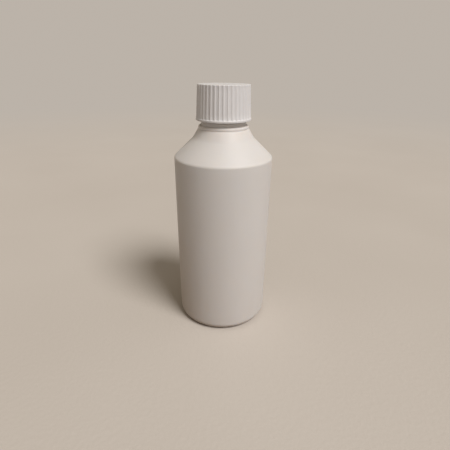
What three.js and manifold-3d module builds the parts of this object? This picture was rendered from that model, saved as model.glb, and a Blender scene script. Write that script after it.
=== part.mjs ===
// A round 300 ml bottle, blown in one piece from HDPE, closed by a ribbed screw cap with a foam liner.
// Millimetres, +Z up. The origin is the centre of the ring that the bottle stands on.
import * as THREE from "three";
import { mergeVertices } from "three/addons/utils/BufferGeometryUtils.js";
import Module from "manifold-3d";

const wasm = await Module();
wasm.setup();

const degrees = Math.PI / 180;

// The bottle's body
const BODY_RADIUS = 30;
const BODY_WALL = 1.0;
const SHOULDER_HEIGHT = 111.6; // where the straight wall and the cone would meet if their edge were sharp
const SHOULDER_EDGE = 2; // rounding of that edge
const SHOULDER_SLOPE = 43.8 * degrees; // the cone's rise above the horizontal
const BEND_RADIUS = 19; // where the cone bends up towards the neck, measured from the axis
const BEND_ROUNDING = 20;

// The foot: a flat ring, a rounded corner outside it and a raised middle inside it
const FOOT_CORNER = 4.7;
const FOOT_RING_WIDTH = 4.5;
const FOOT_STEP_WIDTH = 3.5; // the slope from the ring up to the raised middle
const FOOT_STEP_HEIGHT = 2.5;
const FOOT_STEP_ROUNDING = 1.5;

// The weld across the raised middle, left where the mould pinched the tube of plastic shut
const WELD_WIDTH = 1.1;
const WELD_HEIGHT = 0.5;
const WELD_END_GAP = 2; // from the weld's ends to the edge of the raised middle

// The collar, a rounded bead round the neck's root, and the plain ring above it that shows under the cap
const COLLAR_RADIUS = 15.4;
const SHOULDER_TO_COLLAR = 18.3; // from the shoulder's sharp edge up to the collar's top
const COLLAR_HEIGHT = 2.1;
const COLLAR_TOP_EDGE = 0.8;
const COLLAR_LOWER_EDGE = 0.3;
const COLLAR_UNDERCUT = 0.4; // how far the cone's upper end lies inside the collar, and below it
const COLLAR_WALL = 1.9;
const NECK_RING_RADIUS = 13.1;
const NECK_RING_HEIGHT = 2.8;
const NECK_RING_CHAMFER = 0.6;

// The threaded finish, 28 mm across its thread
const THREAD_RADIUS = 13.75; // over the crest
const THREAD_DEPTH = 1.25;
const THREAD_PITCH = 4.233; // six turns to the inch
const THREAD_TURNS = 1.5;
const THREAD_ROOT_WIDTH = 2.4;
const THREAD_FLANK = 20 * degrees;
const THREAD_END_TURN = 0.09; // the share of a turn over which each end of a thread runs out
const THREAD_TOP_DROP = 2.4; // from the mouth's rim to the middle of the thread's upper end
const FINISH_HEIGHT = 19.75; // from the collar to the mouth's rim
const NECK_BORE = 10.7;
const BORE_STEP_DEPTH = 2.1; // from the collar's top down to the foot of the slope inside
const BORE_STEP_HEIGHT = 2.7; // that slope, from the wide collar in to the bore
const INNER_NECK_ROUNDING = 2; // inside, between the cone and the collar
const RIM_ROUNDING = 0.45;

// The liner, a disc of foam
const LINER_THICKNESS = 1.2;
const LINER_OVERLAP = 0.6; // how far it reaches past the mouth's rim

// The cap
const CAP_HEIGHT = 19.6;
const CAP_TOP_THICKNESS = 1.6;
const CAP_RIM_RADIUS = 16.4;
const CAP_RIM_HEIGHT = 1.2; // the smooth band under the ribs
const CAP_RIM_PROUD = 0.25; // how far that band stands out past the ribs
const CAP_RIM_EDGE = 0.3;
const CAP_TOP_RADIUS = 15.35; // over the ribs' crests, at their upper end
const CAP_TOP_EDGE = 0.4; // rounding between the side and the top
const RIB_COUNT = 40;
const RIB_DEPTH = 0.45;
const RIB_CREST_SHARE = 0.26; // of the distance from rib to rib
const RIB_FLANK_SHARE = 0.17;
const RIB_RUN_OUT = 0.5; // height over which the ribs fade into the rim
const CAP_LEAD_IN = 0.5; // chamfer round the cap's mouth
const CAP_THREAD_ROOT_WIDTH = 1.5;

// Clearances between the pieces
const THREAD_CREST_GAP = 0.3; // bottle's crest to the cap's wall
const THREAD_ROOT_GAP = 0.35; // cap's crest to the neck's wall
const THREAD_FLANK_GAP = 0.3;
const LINER_SIDE_GAP = 0.3;

// How finely the round surfaces are faceted
const FACETS_AROUND = 72;
const ROUNDING_ACCURACY = 0.04; // the farthest that a facet may lie from a rounding's true arc
const FACETS_PER_THREAD_TURN = 48;

// Heights and radii that follow from the sizes above
const neckRadius = THREAD_RADIUS - THREAD_DEPTH;
const collarTop = SHOULDER_HEIGHT + SHOULDER_TO_COLLAR;
const mouthHeight = collarTop + FINISH_HEIGHT;
const capCeiling = mouthHeight + LINER_THICKNESS;
const capTop = capCeiling + CAP_TOP_THICKNESS;
const capBottom = capTop - CAP_HEIGHT;
const capBore = THREAD_RADIUS + THREAD_CREST_GAP;
const linerRadius = neckRadius + LINER_OVERLAP;
const linerSeat = linerRadius + LINER_SIDE_GAP;
const threadStart = mouthHeight - THREAD_TOP_DROP - THREAD_TURNS * THREAD_PITCH;

// Turns corners into a smooth outline: each [radius, height, rounding] with a rounding becomes an arc of that radius.
function roundedOutline(corners) {
  const outline = [];
  corners.forEach(([x, y, rounding = 0], i) => {
    const corner = new THREE.Vector2(x, y);
    if (!rounding) {
      outline.push(corner);
      return;
    }
    const before = new THREE.Vector2(...corners[i - 1]).sub(corner).normalize();
    const after = new THREE.Vector2(...corners[i + 1]).sub(corner).normalize();
    const half = before.angleTo(after) / 2;
    const reach = rounding / Math.tan(half);
    const centre = before.clone().add(after).normalize().multiplyScalar(rounding / Math.sin(half)).add(corner);
    const start = corner.clone().addScaledVector(before, reach).sub(centre);
    const end = corner.clone().addScaledVector(after, reach).sub(centre);
    const turn = Math.sign(start.cross(end)) * start.angleTo(end);
    const facets = Math.ceil(Math.abs(turn) / (2 * Math.acos(1 - ROUNDING_ACCURACY / rounding)));
    for (let k = 0; k <= facets; k++) {
      const along = start.clone().rotateAround(new THREE.Vector2(), (turn * k) / facets);
      outline.push(along.add(centre));
    }
  });
  return outline;
}

// Makes a solid of a closed three.js geometry: shared corners are joined and flat slivers are left out.
function solidFrom(geometry) {
  const bare = geometry.index ? geometry.toNonIndexed() : geometry;
  const points = new THREE.BufferGeometry().setAttribute("position", bare.getAttribute("position"));
  const joined = mergeVertices(points, 1e-4);
  const corners = [];
  for (let i = 0; i < joined.index.count; i += 3) {
    const [a, b, c] = joined.index.array.slice(i, i + 3);
    if (a !== b && b !== c && c !== a) corners.push(a, b, c);
  }
  const vertProperties = joined.getAttribute("position").array;
  return new wasm.Manifold(new wasm.Mesh({ numProp: 3, vertProperties, triVerts: new Uint32Array(corners) }));
}

// Spins an outline of [radius, height] points round the Z axis.
// The outline runs up the outside and down the inside.
function turned(outline) {
  return solidFrom(new THREE.LatheGeometry(outline, FACETS_AROUND).rotateX(Math.PI / 2));
}

// Skins a stack of closed rings, each with the same number of points, and closes both ends with a fan.
function lofted(rings) {
  const points = rings.flat();
  const size = rings[0].length;
  const last = points.length - size;
  const middle = (ring) => ring.reduce((sum, p) => sum.add(p), new THREE.Vector3()).divideScalar(size);
  const lower = points.push(middle(rings[0])) - 1;
  const upper = points.push(middle(rings[rings.length - 1])) - 1;
  const faces = [];
  for (let i = 0; i < size; i++) {
    const next = (i + 1) % size;
    for (let base = 0; base < last; base += size) {
      faces.push(base + i, base + next, base + size + next);
      faces.push(base + i, base + size + next, base + size + i);
    }
    faces.push(lower, next, i);
    faces.push(upper, last + i, last + next);
  }
  return solidFrom(new THREE.BufferGeometry().setFromPoints(points).setIndex(faces));
}

// A right-handed thread: its section is swept up a helix, and each end runs out into the wall at rootRadius.
// With its crest inside the root it is an internal thread.
function thread({ rootRadius, crestRadius, rootWidth, startHeight }) {
  const hold = 0.35; // how far the root is sunk into the wall, so that the two join
  const endSink = 0.15; // how far under the wall's face each end stops
  const endWidth = 0.4; // the share of the width left at each end
  const steps = Math.round(THREAD_TURNS * FACETS_PER_THREAD_TURN);
  const outward = Math.sign(crestRadius - rootRadius);
  const depth = Math.abs(crestRadius - rootRadius);
  const rings = [];
  for (let k = 0; k <= steps; k++) {
    const turns = (k / steps) * THREAD_TURNS;
    const fromEnd = Math.min(1, turns / THREAD_END_TURN, (THREAD_TURNS - turns) / THREAD_END_TURN);
    const swell = Math.sin((fromEnd * Math.PI) / 2);
    const tall = THREE.MathUtils.lerp(-endSink, depth, swell);
    const rootHalf = (rootWidth / 2) * THREE.MathUtils.lerp(endWidth, 1, swell);
    const halfWidth = (out) => rootHalf - out * Math.tan(THREAD_FLANK);
    const section = [
      [-hold, -halfWidth(-hold)],
      [tall, -halfWidth(tall)],
      [tall, halfWidth(tall)],
      [-hold, halfWidth(-hold)],
    ];
    if (outward > 0) section.reverse();
    const angle = turns * 2 * Math.PI;
    const height = startHeight + turns * THREAD_PITCH;
    const place = ([out, up]) => new THREE.Vector3().setFromCylindricalCoords(
      rootRadius + outward * out, angle + Math.PI / 2, height + up,
    );
    rings.push(section.map(place).map(({ x, y, z }) => new THREE.Vector3(x, -z, y)));
  }
  return lofted(rings);
}

// The blown shell: straight wall, conical shoulder, collar and neck, open at the mouth.
function bottle() {
  const footOuter = BODY_RADIUS - FOOT_CORNER;
  const footInner = footOuter - FOOT_RING_WIDTH;
  const middleEdge = footInner - FOOT_STEP_WIDTH;
  const rise = Math.tan(SHOULDER_SLOPE);
  const coneHeight = (radius) => SHOULDER_HEIGHT + (BODY_RADIUS - radius) * rise;
  const innerConeHeight = (radius) => coneHeight(radius) - BODY_WALL * Math.hypot(1, rise);
  const innerBody = BODY_RADIUS - BODY_WALL;
  const innerCollar = COLLAR_RADIUS - COLLAR_WALL;
  const collarFoot = collarTop - COLLAR_HEIGHT;
  const coneTop = COLLAR_RADIUS - COLLAR_UNDERCUT;
  const ringTop = collarTop + NECK_RING_HEIGHT;
  const stepFoot = collarTop - BORE_STEP_DEPTH;
  const shell = turned(
    roundedOutline([
      [0, FOOT_STEP_HEIGHT],
      [middleEdge, FOOT_STEP_HEIGHT, FOOT_STEP_ROUNDING],
      [footInner, 0],
      [footOuter, 0],
      [BODY_RADIUS, 0, FOOT_CORNER],
      [BODY_RADIUS, SHOULDER_HEIGHT, SHOULDER_EDGE],
      [BEND_RADIUS, coneHeight(BEND_RADIUS), BEND_ROUNDING],
      [coneTop, collarFoot - COLLAR_UNDERCUT],
      [COLLAR_RADIUS, collarFoot, COLLAR_LOWER_EDGE],
      [COLLAR_RADIUS, collarTop, COLLAR_TOP_EDGE],
      [NECK_RING_RADIUS, collarTop],
      [NECK_RING_RADIUS, ringTop - NECK_RING_CHAMFER],
      [neckRadius, ringTop],
      [neckRadius, mouthHeight, RIM_ROUNDING],
      [NECK_BORE, mouthHeight],
      [NECK_BORE, stepFoot + BORE_STEP_HEIGHT],
      [innerCollar, stepFoot],
      [innerCollar, innerConeHeight(innerCollar), INNER_NECK_ROUNDING],
      [innerBody, innerConeHeight(innerBody), SHOULDER_EDGE],
      [innerBody, BODY_WALL, FOOT_CORNER - BODY_WALL],
      [footInner, BODY_WALL],
      [middleEdge, FOOT_STEP_HEIGHT + BODY_WALL, FOOT_STEP_ROUNDING],
      [0, FOOT_STEP_HEIGHT + BODY_WALL],
    ]),
  );
  const finishThread = thread({
    rootRadius: neckRadius,
    crestRadius: THREAD_RADIUS,
    rootWidth: THREAD_ROOT_WIDTH,
    startHeight: threadStart,
  });
  return shell.add(finishThread).add(weld(middleEdge - WELD_END_GAP));
}

// The ridge left by the weld: it runs along X, stands out of the raised middle and slopes away at its ends.
function weld(reach) {
  const root = FOOT_STEP_HEIGHT + BODY_WALL / 2;
  const ridge = FOOT_STEP_HEIGHT - WELD_HEIGHT;
  const slope = root - ridge;
  const outline = new THREE.Shape([
    new THREE.Vector2(-reach, root),
    new THREE.Vector2(-reach + slope, ridge),
    new THREE.Vector2(reach - slope, ridge),
    new THREE.Vector2(reach, root),
  ]);
  const bar = new THREE.ExtrudeGeometry(outline, { depth: WELD_WIDTH, bevelEnabled: false });
  return solidFrom(bar.rotateX(Math.PI / 2).translate(0, WELD_WIDTH / 2, 0));
}

// One ring of the cap's side: the ribs' crests at one radius and the valleys between them at another.
function ribbedRing(height, valley, crest) {
  const pitch = (2 * Math.PI) / RIB_COUNT;
  const half = RIB_CREST_SHARE / 2;
  const corners = [
    [-half - RIB_FLANK_SHARE, valley],
    [-half, crest],
    [half, crest],
    [half + RIB_FLANK_SHARE, valley],
  ];
  const ring = [];
  for (let rib = 0; rib < RIB_COUNT; rib++) {
    for (const [share, radius] of corners) {
      const angle = (rib + share) * pitch;
      ring.push(new THREE.Vector3(radius * Math.cos(angle), radius * Math.sin(angle), height));
    }
  }
  return ring;
}

// The moulded cap: a ribbed, tapering side on a smooth rim, a flat top, and a thread inside.
function screwCap() {
  const rimTop = capBottom + CAP_RIM_HEIGHT;
  const ribStart = rimTop + RIB_RUN_OUT;
  const ribEnd = capTop - CAP_TOP_EDGE;
  const lowestCrest = CAP_RIM_RADIUS - CAP_RIM_PROUD;
  const smoothRing = (height, radius) => ribbedRing(height, radius, radius);
  const rings = [
    smoothRing(capBottom, CAP_RIM_RADIUS - CAP_RIM_EDGE),
    smoothRing(capBottom + CAP_RIM_EDGE, CAP_RIM_RADIUS),
    smoothRing(rimTop, CAP_RIM_RADIUS),
    ribbedRing(ribStart, lowestCrest - RIB_DEPTH, lowestCrest),
    ribbedRing(ribEnd, CAP_TOP_RADIUS - RIB_DEPTH, CAP_TOP_RADIUS),
  ];
  const edgeSteps = 3;
  for (let k = 1; k <= edgeSteps; k++) {
    const angle = (k / edgeSteps) * (Math.PI / 2);
    const crest = CAP_TOP_RADIUS - CAP_TOP_EDGE * (1 - Math.cos(angle));
    const valley = crest - RIB_DEPTH * (1 - k / edgeSteps);
    rings.push(ribbedRing(ribEnd + CAP_TOP_EDGE * Math.sin(angle), valley, crest));
  }
  const below = capBottom - 1;
  const hollow = turned([
    new THREE.Vector2(0, below),
    new THREE.Vector2(capBore + CAP_LEAD_IN, below),
    new THREE.Vector2(capBore + CAP_LEAD_IN, capBottom),
    new THREE.Vector2(capBore, capBottom + CAP_LEAD_IN),
    new THREE.Vector2(capBore, mouthHeight - (capBore - linerSeat)),
    new THREE.Vector2(linerSeat, mouthHeight),
    new THREE.Vector2(linerSeat, capCeiling),
    new THREE.Vector2(0, capCeiling),
  ]);
  const taper = Math.tan(THREAD_FLANK);
  const bottleThreadHalf = THREAD_ROOT_WIDTH / 2 - (capBore - neckRadius) * taper;
  const drop = bottleThreadHalf + CAP_THREAD_ROOT_WIDTH / 2 + THREAD_FLANK_GAP;
  const capThread = thread({
    rootRadius: capBore,
    crestRadius: neckRadius + THREAD_ROOT_GAP,
    rootWidth: CAP_THREAD_ROOT_WIDTH,
    startHeight: threadStart - drop,
  });
  return lofted(rings).subtract(hollow).add(capThread);
}

// A plain disc between the mouth's rim and the cap's ceiling.
function liner() {
  return turned([
    new THREE.Vector2(0, mouthHeight),
    new THREE.Vector2(linerRadius, mouthHeight),
    new THREE.Vector2(linerRadius, capCeiling),
    new THREE.Vector2(0, capCeiling),
  ]);
}

// Names a solid and gives it its plastic.
function piece(name, solid, color, roughness) {
  const { vertProperties, triVerts } = solid.getMesh();
  const geometry = new THREE.BufferGeometry();
  geometry.setAttribute("position", new THREE.BufferAttribute(vertProperties, 3));
  geometry.setIndex(new THREE.BufferAttribute(triVerts, 1));
  geometry.computeVertexNormals();
  const mesh = new THREE.Mesh(geometry, new THREE.MeshStandardMaterial({ color, roughness, metalness: 0 }));
  mesh.name = name;
  return mesh;
}

const part = new THREE.Group();
part.add(piece("bottle", bottle(), 0xeae6df, 0.45));
part.add(piece("screw_cap", screwCap(), 0xf0f0ee, 0.4));
part.add(piece("liner", liner(), 0xf4f4f0, 0.9));

export default part;
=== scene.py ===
"""A white HDPE bottle with a ribbed screw cap, standing on a plain pale floor. Metres, +Z up."""

import math

import bpy
from mathutils import Matrix, Vector


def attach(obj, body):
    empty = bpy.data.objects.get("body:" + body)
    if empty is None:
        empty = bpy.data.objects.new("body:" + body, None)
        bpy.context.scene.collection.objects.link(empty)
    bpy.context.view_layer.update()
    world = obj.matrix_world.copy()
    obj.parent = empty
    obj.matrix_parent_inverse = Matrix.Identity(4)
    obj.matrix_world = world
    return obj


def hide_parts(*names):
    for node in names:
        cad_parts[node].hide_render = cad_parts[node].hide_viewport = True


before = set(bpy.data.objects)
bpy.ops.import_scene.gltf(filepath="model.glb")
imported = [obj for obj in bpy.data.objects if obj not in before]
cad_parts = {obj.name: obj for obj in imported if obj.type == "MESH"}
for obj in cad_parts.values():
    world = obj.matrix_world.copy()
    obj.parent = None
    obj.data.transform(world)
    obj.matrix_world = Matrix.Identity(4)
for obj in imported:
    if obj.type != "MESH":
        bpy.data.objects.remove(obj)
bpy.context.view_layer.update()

MM = 0.001

# The sizes of the solids, in millimetres
BODY_RADIUS = 30.0
BODY_WALL = 1.0
SHOULDER_HEIGHT = 111.6
SHOULDER_EDGE = 2.0
SHOULDER_SLOPE = math.radians(43.8)
FOOT_CORNER = 4.7
FOOT_RING_WIDTH = 4.5
FOOT_RING_ROUNDING = 1.2
FOOT_STEP_WIDTH = 3.5
FOOT_STEP_HEIGHT = 2.5
FOOT_STEP_ROUNDING = 1.5
WELD_WIDTH = 1.1
WELD_HEIGHT = 0.5
WELD_END_GAP = 2.0
COLLAR_RADIUS = 15.4
COLLAR_TOP = 129.9
COLLAR_WALL = 1.9
NECK_RING_HEIGHT = 2.8
NECK_RING_CHAMFER = 0.6
THREAD_RADIUS = 13.75
THREAD_DEPTH = 1.25
THREAD_PITCH = 4.233
THREAD_TURNS = 1.5
THREAD_ROOT_WIDTH = 2.4
THREAD_FLANK = math.radians(20)
THREAD_END_TURN = 0.09
THREAD_TOP_DROP = 2.4
FINISH_HEIGHT = 19.75
NECK_BORE = 10.7
BORE_STEP_DEPTH = 2.1
BORE_STEP_HEIGHT = 2.7
RIM_ROUNDING = 0.45
INNER_NECK_ROUNDING = 2.0
LINER_THICKNESS = 1.2
LINER_OVERLAP = 0.6
CAP_HEIGHT = 19.6
CAP_TOP_THICKNESS = 1.6
CAP_RIM_RADIUS = 16.4
CAP_RIM_HEIGHT = 1.2
CAP_RIM_PROUD = 0.25
CAP_RIM_EDGE = 0.3
CAP_TOP_RADIUS = 15.35
CAP_TOP_EDGE = 0.4
RIB_COUNT = 40
RIB_RUN_OUT = 0.5
CAP_LEAD_IN = 0.5
CAP_THREAD_ROOT_WIDTH = 1.5
THREAD_CREST_GAP = 0.3
THREAD_ROOT_GAP = 0.35
THREAD_FLANK_GAP = 0.3
LINER_SIDE_GAP = 0.3

# The bead round the neck's root as the photograph shows it: softer and narrower than the
# solid's, on a ledge at the cone's upper end, with a wider plain ring above it
BEAD_RADIUS = 15.05
BEAD_TOP = COLLAR_TOP + 0.25
BEAD_HEIGHT = 1.95
BEAD_ROUNDING = 1.3
BEAD_UNDERCUT = 0.2
BEAD_FOOT_ROUNDING = 0.12
BEAD_CREASE = 0.15
LEDGE_DROP = 0.35
LEDGE_RADIUS = 15.3
LEDGE_ROUNDING = 0.35
SOFT_BEND_RADIUS = 18.2
SOFT_BEND_ROUNDING = 9.0
SOFT_RING_RADIUS = 13.35
NECK_RING_ROUNDING = 0.3
BORE_EDGE = 0.3
BORE_STEP_ROUNDING = 0.8

# The mould seams, which start just above the floor and leave the bore plain
SEAM_WIDTH = 0.35
SEAM_DEPTH = 0.05
SEAM_START = 0.5
SEAM_FROM_BORE = 1.0

# The weld's uneven crest across the foot
WELD_STEPS = 24
WELD_ACROSS = 8
WELD_RUN_OUT = 1.5
WELD_WAVE = 0.08
WELD_WAVES_PER_MM = 2.3
WELD_SINK = 0.05

# The thread's section: how far it reaches into the wall, its run-out ends and its soft crest
THREAD_HOLD = 0.35
THREAD_END_SINK = 0.15
THREAD_END_WIDTH = 0.4
THREAD_SOFTNESS = 0.22
THREAD_SOFT_LEAST = 0.02
THREAD_SOFT_SHARE = 0.6
THREAD_CREST_STEPS = 4

# The cap's ribs and edges, with the ribs as shallow and soft as the photograph shows them
RIB_DEPTH = 0.27
RIB_CREST = 0.07
RIB_FLANK = 0.22
RIB_TOP_FADE = 0.6
RIB_FACETS = 16
RIB_STEPS = 6
RIB_RUN_OUT_STEPS = 4
RIM_UPPER_INSET = 0.12
RIM_EDGE_STEPS = 4
TOP_EDGE_STEPS = 8
TOP_RINGS = (14.0, 12.0, 8.0, 4.0)
SEAT_ROUNDING = 0.2
LEAD_IN_ROUNDING = 0.4
LINER_EDGE = 0.15

NECK_RADIUS = THREAD_RADIUS - THREAD_DEPTH
MOUTH = COLLAR_TOP + FINISH_HEIGHT
CEILING = MOUTH + LINER_THICKNESS
CAP_TOP = CEILING + CAP_TOP_THICKNESS
CAP_BOTTOM = CAP_TOP - CAP_HEIGHT
CAP_BORE = THREAD_RADIUS + THREAD_CREST_GAP
LINER_RADIUS = NECK_RADIUS + LINER_OVERLAP
THREAD_START = MOUTH - THREAD_TOP_DROP - THREAD_TURNS * THREAD_PITCH

RIGHT_ANGLE = math.radians(90)
ON_AXIS = 1e-6


def rounded_outline(corners, accuracy=0.004, fewest=4):
    """Turns corners of (radius, height, rounding) into an outline with an arc on each rounding."""
    outline = []
    for i, (x, y, rounding) in enumerate(corners):
        corner = Vector((x, y))
        if not rounding:
            outline.append(corner)
            continue
        before = (Vector(corners[i - 1][:2]) - corner).normalized()
        after = (Vector(corners[i + 1][:2]) - corner).normalized()
        half = before.angle(after) / 2
        centre = corner + (before + after).normalized() * (rounding / math.sin(half))
        reach = rounding / math.tan(half)
        start = corner + before * reach - centre
        end = corner + after * reach - centre
        turn = math.atan2(start.x * end.y - start.y * end.x, start.dot(end))
        facets = max(fewest, math.ceil(abs(turn) / (2 * math.acos(1 - accuracy / rounding))))
        for k in range(facets + 1):
            a = turn * k / facets
            c, s = math.cos(a), math.sin(a)
            outline.append(centre + Vector((start.x * c - start.y * s, start.x * s + start.y * c)))
    return outline


def split_long(outline, longest):
    """Adds points on an outline's long straight stretches, so that no facet is longer than that."""
    points = [outline[0]]
    for here in outline[1:]:
        last = points[-1]
        parts = max(1, math.ceil((here - last).length / longest))
        points += [last.lerp(here, k / parts) for k in range(1, parts + 1)]
    return points


def new_object(name, points, faces, smooth=math.radians(35)):
    """A mesh object from points in millimetres, smooth shaded apart from its sharp edges."""
    mesh = bpy.data.meshes.new(name)
    mesh.from_pydata([tuple(c * MM for c in p) for p in points], [], faces)
    mesh.validate()
    mesh.shade_smooth()
    mesh.set_sharp_from_angle(angle=smooth)
    made = bpy.data.objects.new(name, mesh)
    bpy.context.collection.objects.link(made)
    return made


def ring_faces(rings):
    """Faces between rings of point numbers. A ring on the axis repeats its one point."""
    faces = []
    for low, high in zip(rings, rings[1:]):
        around = len(low)
        for k in range(around):
            n = (k + 1) % around
            face = [low[k], low[n], high[n], high[k]]
            face = [v for i, v in enumerate(face) if v != face[i - 1]]
            if len(face) > 2:
                faces.append(face)
    return faces


def spin(outline, around, radius_at=None):
    """An outline spun round Z. radius_at(radius, height, angle) may shift each point's radius."""
    points, rings = [], []
    for r, z in outline:
        if r < ON_AXIS:
            rings.append([len(points)] * around)
            points.append((0.0, 0.0, z))
            continue
        rings.append(range(len(points), len(points) + around))
        for k in range(around):
            a = 2 * math.pi * k / around
            rr = radius_at(r, z, a) if radius_at else r
            points.append((rr * math.cos(a), rr * math.sin(a), z))
    return points, ring_faces(rings)


def thread(root, crest, width, start, per_turn=96):
    """A right-handed thread with rounded crests, running out at both ends."""
    steps = round(THREAD_TURNS * per_turn)
    outward = 1 if crest > root else -1
    depth = abs(crest - root)
    slope = math.tan(THREAD_FLANK)
    points = []
    for k in range(steps + 1):
        turns = THREAD_TURNS * k / steps
        from_end = min(1, turns / THREAD_END_TURN, (THREAD_TURNS - turns) / THREAD_END_TURN)
        swell = math.sin(from_end * math.pi / 2)
        tall = -THREAD_END_SINK + (depth + THREAD_END_SINK) * swell
        half = width / 2 * (THREAD_END_WIDTH + (1 - THREAD_END_WIDTH) * swell)
        top = half - tall * slope
        soft = min(THREAD_SOFTNESS, max(THREAD_SOFT_LEAST, top * THREAD_SOFT_SHARE))
        section = [(-THREAD_HOLD, -half - THREAD_HOLD * slope)]
        for j in range(THREAD_CREST_STEPS + 1):
            share = j / THREAD_CREST_STEPS
            a = share * RIGHT_ANGLE
            out = tall - soft + soft * math.sin(a)
            up = -top - soft * slope * (1 - share) + soft * (1 - math.cos(a))
            section.append((out, up))
        section += [(out, -up) for out, up in reversed(section)]
        if outward > 0:
            section.reverse()
        size = len(section)
        angle = 2 * math.pi * turns
        height = start + turns * THREAD_PITCH
        for out, up in section:
            r = root + outward * out
            points.append((r * math.cos(angle), r * math.sin(angle), height + up))
    rings = [range(k * size, (k + 1) * size) for k in range(steps + 1)]
    faces = ring_faces(rings)
    faces.append(list(reversed(rings[0])))
    faces.append(list(rings[-1]))
    return points, faces


def together(*parts):
    """Several (points, faces) pairs as one."""
    points, faces = [], []
    for p, f in parts:
        base = len(points)
        points += p
        faces += [[base + v for v in face] for face in f]
    return points, faces


def smooth_step(t):
    return t * t * (3 - 2 * t)


def weld(reach):
    """The ridge under the foot's middle, along X from -reach to reach, where the mould pinched it."""
    points, faces = [], []
    for i in range(WELD_STEPS + 1):
        x = -reach + 2 * reach * i / WELD_STEPS
        ends = min(1.0, (reach - abs(x)) / WELD_RUN_OUT)
        wave = 1 + WELD_WAVE * math.sin(WELD_WAVES_PER_MM * x)
        for j in range(WELD_ACROSS + 1):
            side = j / WELD_ACROSS - 0.5
            bulge = math.cos(math.pi * side)
            drop = WELD_HEIGHT * ends * math.sqrt(max(0.0, bulge)) * wave
            z = FOOT_STEP_HEIGHT + WELD_SINK - min(drop, WELD_HEIGHT)
            points.append((x, WELD_WIDTH * side, z))
    for i in range(WELD_STEPS):
        for j in range(WELD_ACROSS):
            a = i * (WELD_ACROSS + 1) + j
            b = a + WELD_ACROSS + 1
            faces.append([a, a + 1, b + 1, b])
    return points, faces


def make_bottle():
    foot_outer = BODY_RADIUS - FOOT_CORNER
    foot_inner = foot_outer - FOOT_RING_WIDTH
    middle = foot_inner - FOOT_STEP_WIDTH
    rise = math.tan(SHOULDER_SLOPE)

    def cone(r):
        return SHOULDER_HEIGHT + (BODY_RADIUS - r) * rise

    def inner_cone(r):
        return cone(r) - BODY_WALL * math.hypot(1, rise)

    inner_body = BODY_RADIUS - BODY_WALL
    inner_collar = COLLAR_RADIUS - COLLAR_WALL
    bead_foot = BEAD_TOP - BEAD_HEIGHT
    ring_top = COLLAR_TOP + NECK_RING_HEIGHT
    step_foot = COLLAR_TOP - BORE_STEP_DEPTH
    corners = [
        (0, FOOT_STEP_HEIGHT, 0),
        (middle, FOOT_STEP_HEIGHT, FOOT_STEP_ROUNDING),
        (foot_inner, 0, FOOT_RING_ROUNDING),
        (foot_outer, 0, 0),
        (BODY_RADIUS, 0, FOOT_CORNER),
        (BODY_RADIUS, SHOULDER_HEIGHT, SHOULDER_EDGE),
        (SOFT_BEND_RADIUS, cone(SOFT_BEND_RADIUS), SOFT_BEND_ROUNDING),
        (LEDGE_RADIUS, bead_foot - LEDGE_DROP, LEDGE_ROUNDING),
        (BEAD_RADIUS - BEAD_UNDERCUT, bead_foot, BEAD_FOOT_ROUNDING),
        (BEAD_RADIUS, bead_foot + BEAD_UNDERCUT, BEAD_FOOT_ROUNDING),
        (BEAD_RADIUS, BEAD_TOP, BEAD_ROUNDING),
        (SOFT_RING_RADIUS, BEAD_TOP, BEAD_CREASE),
        (SOFT_RING_RADIUS, ring_top - NECK_RING_CHAMFER, NECK_RING_ROUNDING),
        (NECK_RADIUS, ring_top, NECK_RING_ROUNDING),
        (NECK_RADIUS, MOUTH, RIM_ROUNDING),
        (NECK_BORE, MOUTH, BORE_EDGE),
        (NECK_BORE, step_foot + BORE_STEP_HEIGHT, BORE_STEP_ROUNDING),
        (inner_collar, step_foot, BORE_STEP_ROUNDING),
        (inner_collar, inner_cone(inner_collar), INNER_NECK_ROUNDING),
        (inner_body, inner_cone(inner_body), SHOULDER_EDGE),
        (inner_body, BODY_WALL, FOOT_CORNER - BODY_WALL),
        (foot_inner, BODY_WALL, 0),
        (middle, FOOT_STEP_HEIGHT + BODY_WALL, FOOT_STEP_ROUNDING),
        (0, FOOT_STEP_HEIGHT + BODY_WALL, 0),
    ]

    def with_seam(r, z, a):
        # The mould's halves met in the plane Y = 0. The seam is a dip, so the radius stays whole.
        if r < NECK_BORE + SEAM_FROM_BORE or z < SEAM_START:
            return r
        dip = max(0.0, 1 - abs(math.sin(a)) * r / SEAM_WIDTH)
        return r - SEAM_DEPTH * dip

    outline = split_long(rounded_outline(corners), longest=4.0)
    shell = spin(outline, around=240, radius_at=with_seam)
    finish = thread(NECK_RADIUS, THREAD_RADIUS, THREAD_ROOT_WIDTH, THREAD_START)
    parts = together(shell, finish, weld(middle - WELD_END_GAP))
    made = new_object("bottle_shell", *parts)
    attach(made, "bottle")
    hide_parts("bottle")
    return made


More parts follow.
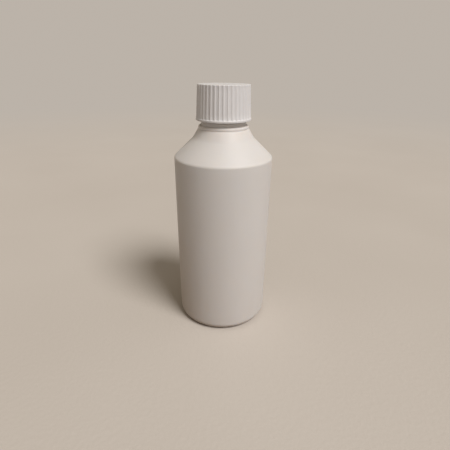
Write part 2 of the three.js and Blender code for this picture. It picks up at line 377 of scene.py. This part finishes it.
def cap_rows():
    """The cap's outside from its lower edge to its top, in rows of (height, crest radius, rib depth)."""
    edge = CAP_RIM_EDGE
    rim_top = CAP_BOTTOM + CAP_RIM_HEIGHT
    rim_upper = CAP_RIM_RADIUS - RIM_UPPER_INSET
    rib_start = rim_top + RIB_RUN_OUT
    rib_end = CAP_TOP - CAP_TOP_EDGE
    lowest_crest = CAP_RIM_RADIUS - CAP_RIM_PROUD
    rows = []
    for k in range(RIM_EDGE_STEPS + 1):
        a = RIGHT_ANGLE * k / RIM_EDGE_STEPS
        z = CAP_BOTTOM + edge * (1 - math.cos(a))
        rows.append((z, CAP_RIM_RADIUS - edge * (1 - math.sin(a)), 0.0))
    for k in range(RIM_EDGE_STEPS + 1):
        a = RIGHT_ANGLE * k / RIM_EDGE_STEPS
        z = rim_top - edge * (1 - math.sin(a))
        rows.append((z, CAP_RIM_RADIUS - RIM_UPPER_INSET * (1 - math.cos(a)), 0.0))
    for k in range(1, RIB_RUN_OUT_STEPS + 1):
        t = k / RIB_RUN_OUT_STEPS
        s = smooth_step(t)
        crest = rim_upper * (1 - s) + lowest_crest * s
        rows.append((rim_top + RIB_RUN_OUT * t, crest, RIB_DEPTH * s))
    for k in range(1, RIB_STEPS + 1):
        t = k / RIB_STEPS
        crest = lowest_crest + (CAP_TOP_RADIUS - lowest_crest) * t
        rows.append((rib_start + (rib_end - rib_start) * t, crest, RIB_DEPTH))
    for k in range(1, TOP_EDGE_STEPS + 1):
        a = RIGHT_ANGLE * k / TOP_EDGE_STEPS
        crest = CAP_TOP_RADIUS - CAP_TOP_EDGE * (1 - math.cos(a))
        depth = RIB_DEPTH * (1 - k / TOP_EDGE_STEPS) ** RIB_TOP_FADE
        rows.append((rib_end + CAP_TOP_EDGE * math.sin(a), crest, depth))
    rows += [(CAP_TOP, r, 0.0) for r in TOP_RINGS]
    return rows


def ribbed_side():
    """The cap's outside with its ribs, closed over the top."""
    around = RIB_COUNT * RIB_FACETS

    def valley(a):
        """0 on a rib's crest and 1 between two ribs, with rounded flanks."""
        share = (a / (2 * math.pi) * RIB_COUNT + 0.5) % 1.0 - 0.5
        t = (abs(share) - RIB_CREST) / RIB_FLANK
        return smooth_step(min(1.0, max(0.0, t)))

    points, rings = [], []
    for z, crest, depth in cap_rows():
        rings.append(range(len(points), len(points) + around))
        for k in range(around):
            a = 2 * math.pi * k / around
            r = crest - depth * valley(a)
            points.append((r * math.cos(a), r * math.sin(a), z))
    rings.append([len(points)] * around)
    points.append((0, 0, CAP_TOP))
    return points, ring_faces(rings)


def make_cap():
    seat = LINER_RADIUS + LINER_SIDE_GAP
    inner = rounded_outline(
        [
            (0, CEILING, 0),
            (seat, CEILING, 0),
            (seat, MOUTH, 0),
            (CAP_BORE, MOUTH - (CAP_BORE - seat), SEAT_ROUNDING),
            (CAP_BORE, CAP_BOTTOM + CAP_LEAD_IN, LEAD_IN_ROUNDING),
            (CAP_BORE + CAP_LEAD_IN, CAP_BOTTOM, 0),
            (CAP_RIM_RADIUS - CAP_RIM_EDGE, CAP_BOTTOM, 0),
        ]
    )
    inside = spin(split_long(inner, longest=3.0), around=160)
    slope = math.tan(THREAD_FLANK)
    bottle_half = THREAD_ROOT_WIDTH / 2 - (CAP_BORE - NECK_RADIUS) * slope
    start = THREAD_START - (bottle_half + CAP_THREAD_ROOT_WIDTH / 2 + THREAD_FLANK_GAP)
    screw = thread(CAP_BORE, NECK_RADIUS + THREAD_ROOT_GAP, CAP_THREAD_ROOT_WIDTH, start)
    parts = together(ribbed_side(), inside, screw)
    made = new_object("cap_moulding", *parts, smooth=math.radians(50))
    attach(made, "screw_cap")
    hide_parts("screw_cap")
    return made


def make_liner():
    outline = rounded_outline(
        [
            (0, MOUTH, 0),
            (LINER_RADIUS, MOUTH, LINER_EDGE),
            (LINER_RADIUS, CEILING, LINER_EDGE),
            (0, CEILING, 0),
        ]
    )
    made = new_object("liner_disc", *spin(split_long(outline, longest=2.0), around=96))
    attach(made, "liner")
    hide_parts("liner")
    return made


# The colours, each as the darker and the lighter one of a slow unevenness
HDPE_COLOURS = (0.738, 0.690, 0.655, 1), (0.762, 0.714, 0.681, 1)
CAP_COLOURS = (0.735, 0.715, 0.714, 1), (0.760, 0.741, 0.740, 1)
FOAM_COLOURS = (0.86, 0.86, 0.84, 1), (0.80, 0.80, 0.78, 1)
FLOOR_COLOURS = (0.575, 0.520, 0.465, 1), (0.600, 0.545, 0.490, 1)
BACKGROUND = (0.500, 0.449, 0.396, 1)

# How light goes through the plastics
HDPE_BODY = {
    "IOR": 1.53,
    "Subsurface Weight": 0.5,
    "Subsurface Radius": (1.0, 0.85, 0.7),
    "Subsurface Scale": 0.003,
}
CAP_BODY = {
    "IOR": 1.49,
    "Subsurface Weight": 0.15,
    "Subsurface Radius": (1.0, 0.9, 0.8),
    "Subsurface Scale": 0.0008,
}

# What the floor gives back to the bottle: the photograph's brown table close by, and its white
# wall far away. Distances are in metres from the bottle.
TABLE_BOUNCE = (0.15, 0.085, 0.035, 1)
WALL_BOUNCE = (0.45, 0.44, 0.44, 1)
BOUNCE_NEAR = 0.12
BOUNCE_FAR = 0.45
FADE_START = 0.3
FADE_END = 1.5
FLOOR_REACH = 3.0


class Nodes:
    """A short way to write the nodes of a material or of the world."""

    def __init__(self, owner, shader="Principled BSDF"):
        owner.use_nodes = True
        self.owner = owner
        self.tree = owner.node_tree
        self.shader = self.tree.nodes[shader]

    def add(self, kind, **inputs):
        node = self.tree.nodes.new(kind)
        for key, value in inputs.items():
            if key in node.inputs:
                node.inputs[key].default_value = value
            else:
                setattr(node, key, value)
        return node

    def link(self, a, b):
        self.tree.links.new(a, b)

    def set(self, values):
        for key, value in values.items():
            self.shader.inputs[key].default_value = value

    def feed(self, output, name):
        self.link(output, self.shader.inputs[name])

    def place(self, stretch=(1, 1, 1)):
        """The object's own coordinates, in metres, multiplied by stretch."""
        where = self.add("ShaderNodeTexCoord")
        mapping = self.add("ShaderNodeMapping", Scale=stretch)
        self.link(where.outputs["Object"], mapping.inputs["Vector"])
        return mapping.outputs["Vector"]

    def noise(self, scale, detail=2.0, stretch=(1, 1, 1)):
        noise = self.add("ShaderNodeTexNoise", Scale=scale, Detail=detail, Roughness=0.5)
        self.link(self.place(stretch), noise.inputs["Vector"])
        return noise.outputs["Fac"]

    def ramp(self, fac, colours, start=0.3, end=0.7):
        ramp = self.add("ShaderNodeValToRGB")
        for element, position, colour in zip(ramp.color_ramp.elements, (start, end), colours):
            element.position = position
            element.color = colour
        self.link(fac, ramp.inputs["Fac"])
        return ramp.outputs["Color"]

    def spread(self, fac, low, high):
        """A value from 0 to 1 spread from low to high."""
        spread = self.add("ShaderNodeMapRange")
        spread.inputs["To Min"].default_value = low
        spread.inputs["To Max"].default_value = high
        self.link(fac, spread.inputs["Value"])
        return spread.outputs["Result"]

    def between(self, value, start, end, kind="SMOOTHSTEP"):
        """0 up to start, 1 from end on, and a step of that kind between."""
        step = self.add("ShaderNodeMapRange", interpolation_type=kind)
        step.inputs["From Min"].default_value = start
        step.inputs["From Max"].default_value = end
        self.link(value, step.inputs["Value"])
        return step.outputs["Result"]

    def maths(self, operation, a, b):
        node = self.add("ShaderNodeMath", operation=operation)
        self.link(a, node.inputs[0])
        self.link(b, node.inputs[1])
        return node.outputs["Value"]

    def bump(self, height, distance, strength, normal=None):
        bump = self.add("ShaderNodeBump", Strength=strength, Distance=distance)
        self.link(height, bump.inputs["Height"])
        if normal:
            self.link(normal, bump.inputs["Normal"])
        return bump.outputs["Normal"]

    def mixed_colour(self, fac, first=None, second=None, **colours):
        mix = self.add("ShaderNodeMixRGB", **colours)
        self.link(fac, mix.inputs["Fac"])
        if first:
            self.link(first, mix.inputs["Color1"])
        if second:
            self.link(second, mix.inputs["Color2"])
        return mix.outputs["Color"]

    def show(self, fac, first, second, output):
        """The mix of two shaders, as the material's or the world's own."""
        mix = self.add("ShaderNodeMixShader")
        self.link(fac, mix.inputs["Fac"])
        self.link(first, mix.inputs[1])
        self.link(second, mix.inputs[2])
        self.link(mix.outputs["Shader"], self.tree.nodes[output].inputs["Surface"])

    def seen(self):
        """1 for the rays that see the pale floor and background as they are, 0 for the others."""
        ray = self.add("ShaderNodeLightPath").outputs
        seen = ray["Is Camera Ray"]
        for kind in ("Is Glossy Ray", "Is Transmission Ray"):
            seen = self.maths("MAXIMUM", seen, ray[kind])
        return seen


def blown_plastic():
    """White HDPE off a blow mould: waxy, with faint orange peel and long soft unevenness."""
    n = Nodes(bpy.data.materials.new("blown_plastic"))
    slow = n.noise(scale=45, detail=3.0, stretch=(1, 1, 0.25))
    n.feed(n.ramp(slow, HDPE_COLOURS), "Base Color")
    speckle = n.noise(scale=900, detail=3.0)
    n.feed(n.spread(speckle, low=0.48, high=0.58), "Roughness")
    draw = n.bump(n.noise(scale=160, stretch=(1, 1, 0.12)), distance=0.0002, strength=0.22)
    peel = n.bump(n.noise(scale=1400), distance=0.00005, strength=0.25, normal=draw)
    n.feed(peel, "Normal")
    n.set(HDPE_BODY)
    return n.owner


def moulded_plastic():
    """White moulded polypropylene: a little cooler than the bottle, with a fine satin grain."""
    n = Nodes(bpy.data.materials.new("moulded_plastic"))
    n.feed(n.ramp(n.noise(scale=120), CAP_COLOURS), "Base Color")
    grain = n.noise(scale=2500)
    n.feed(n.spread(grain, low=0.36, high=0.46), "Roughness")
    n.feed(n.bump(grain, distance=0.00003, strength=0.3), "Normal")
    n.set(CAP_BODY)
    return n.owner


def foam():
    """White polyethylene foam: matt, with small closed cells."""
    n = Nodes(bpy.data.materials.new("liner_foam"))
    cells = n.add("ShaderNodeTexVoronoi", Scale=2200.0)
    n.link(n.place(), cells.inputs["Vector"])
    near = cells.outputs["Distance"]
    n.feed(n.ramp(near, FOAM_COLOURS, start=0.1, end=0.6), "Base Color")
    n.feed(n.spread(near, low=0.75, high=0.95), "Roughness")
    n.feed(n.bump(near, distance=0.0001, strength=0.4), "Normal")
    return n.owner


def floor_paint():
    """A matt pale floor that fades into the background and gives back light as a table does."""
    n = Nodes(bpy.data.materials.new("floor_paint"))
    far = n.add("ShaderNodeVectorMath", operation="LENGTH")
    n.link(n.place(), far.inputs[0])
    far = far.outputs["Value"]
    seen = n.seen()
    pale = n.ramp(n.noise(scale=6), FLOOR_COLOURS)
    near_to_far = n.between(far, BOUNCE_NEAR, BOUNCE_FAR)
    bounce = n.mixed_colour(near_to_far, Color1=TABLE_BOUNCE, Color2=WALL_BOUNCE)
    n.feed(n.mixed_colour(seen, bounce, pale), "Base Color")
    n.set({"Roughness": 0.7})
    n.feed(n.bump(n.noise(scale=400, detail=3.0), distance=0.0003, strength=0.5), "Normal")
    faded = n.maths("MULTIPLY", n.between(far, FADE_START, FADE_END), seen)
    glow = n.add("ShaderNodeEmission", Color=BACKGROUND, Strength=1.0).outputs["Emission"]
    n.show(faded, n.shader.outputs["BSDF"], glow, "Material Output")
    return n.owner


bottle = make_bottle()
cap = make_cap()
liner = make_liner()
bottle.data.materials.append(blown_plastic())
cap.data.materials.append(moulded_plastic())
liner.data.materials.append(foam())

floor_mesh = bpy.data.meshes.new("floor")
r = FLOOR_REACH
floor_mesh.from_pydata([(-r, -r, 0), (r, -r, 0), (r, r, 0), (-r, r, 0)], [], [[0, 1, 2, 3]])
floor = bpy.data.objects.new("floor", floor_mesh)
bpy.context.collection.objects.link(floor)
floor_mesh.materials.append(floor_paint())

# A large soft lamp high on the right, in front, as the photograph's shadows show
KEY_AZIMUTH = math.radians(46)  # from the front, to the right
KEY_HEIGHT = math.radians(54)
KEY_WIDTH = math.radians(24)
KEY_STRENGTH = 2.42
KEY_COLOUR = (1.0, 0.985, 0.97)
sun = bpy.data.lights.new("key", "SUN")
sun.energy = KEY_STRENGTH
sun.angle = KEY_WIDTH
sun.color = KEY_COLOUR
key = bpy.data.objects.new("key", sun)
towards = Vector((
    math.sin(KEY_AZIMUTH) * math.cos(KEY_HEIGHT),
    -math.cos(KEY_AZIMUTH) * math.cos(KEY_HEIGHT),
    math.sin(KEY_HEIGHT),
))
key.rotation_euler = towards.to_track_quat("Z", "Y").to_euler()
bpy.context.collection.objects.link(key)

# The room's own light is weak, and weaker and warmer from behind on the left.
# Camera, glossy and transmission rays see a plain pale background instead.
BRIGHT_SIDE = Vector((0.57, -0.82, 0.0))
DARK_END = -0.75
BRIGHT_END = 0.9
DARK_TINT = (0.168, 0.134, 0.076, 1)
BRIGHT_TINT = (0.400, 0.375, 0.355, 1)
world = bpy.data.worlds.new("room")
bpy.context.scene.world = world
n = Nodes(world, "Background")
where = n.add("ShaderNodeTexCoord").outputs["Generated"]
facing = n.add("ShaderNodeVectorMath", operation="DOT_PRODUCT")
facing.inputs[1].default_value = BRIGHT_SIDE
n.link(where, facing.inputs[0])
side = n.between(facing.outputs["Value"], DARK_END, BRIGHT_END, kind="LINEAR")
n.feed(n.mixed_colour(side, Color1=DARK_TINT, Color2=BRIGHT_TINT), "Color")
plain = n.add("ShaderNodeBackground", Color=BACKGROUND, Strength=1.0).outputs["Background"]
n.show(n.seen(), n.shader.outputs["Background"], plain, "World Output")

# The camera, as the photograph's: a short lens a little above the cap, tilted down
FOCAL_PIXELS = 344.14
FRAME_PIXELS = 450
SENSOR_WIDTH = 36
CLIP_START = 0.01
PITCH = 0.4322
ROLL = 0.0114
CAMERA_PLACE = (0.00154, -0.21102, 0.16155)
camera_data = bpy.data.cameras.new("camera")
camera_data.sensor_width = SENSOR_WIDTH
camera_data.sensor_fit = "HORIZONTAL"
camera_data.lens = FOCAL_PIXELS / FRAME_PIXELS * SENSOR_WIDTH
camera_data.clip_start = CLIP_START
camera = bpy.data.objects.new("camera", camera_data)
bpy.context.collection.objects.link(camera)
right = Vector((1, 0, 0))
up = Vector((0, math.sin(PITCH), math.cos(PITCH)))
back = Vector((0, -math.cos(PITCH), math.sin(PITCH)))
rolled_right = right * math.cos(ROLL) + up * math.sin(ROLL)
rolled_up = up * math.cos(ROLL) - right * math.sin(ROLL)
turn = Matrix((rolled_right, rolled_up, back)).transposed().to_4x4()
camera.matrix_world = Matrix.Translation(CAMERA_PLACE) @ turn
bpy.context.scene.camera = camera
bpy.context.scene.view_settings.view_transform = "Standard"
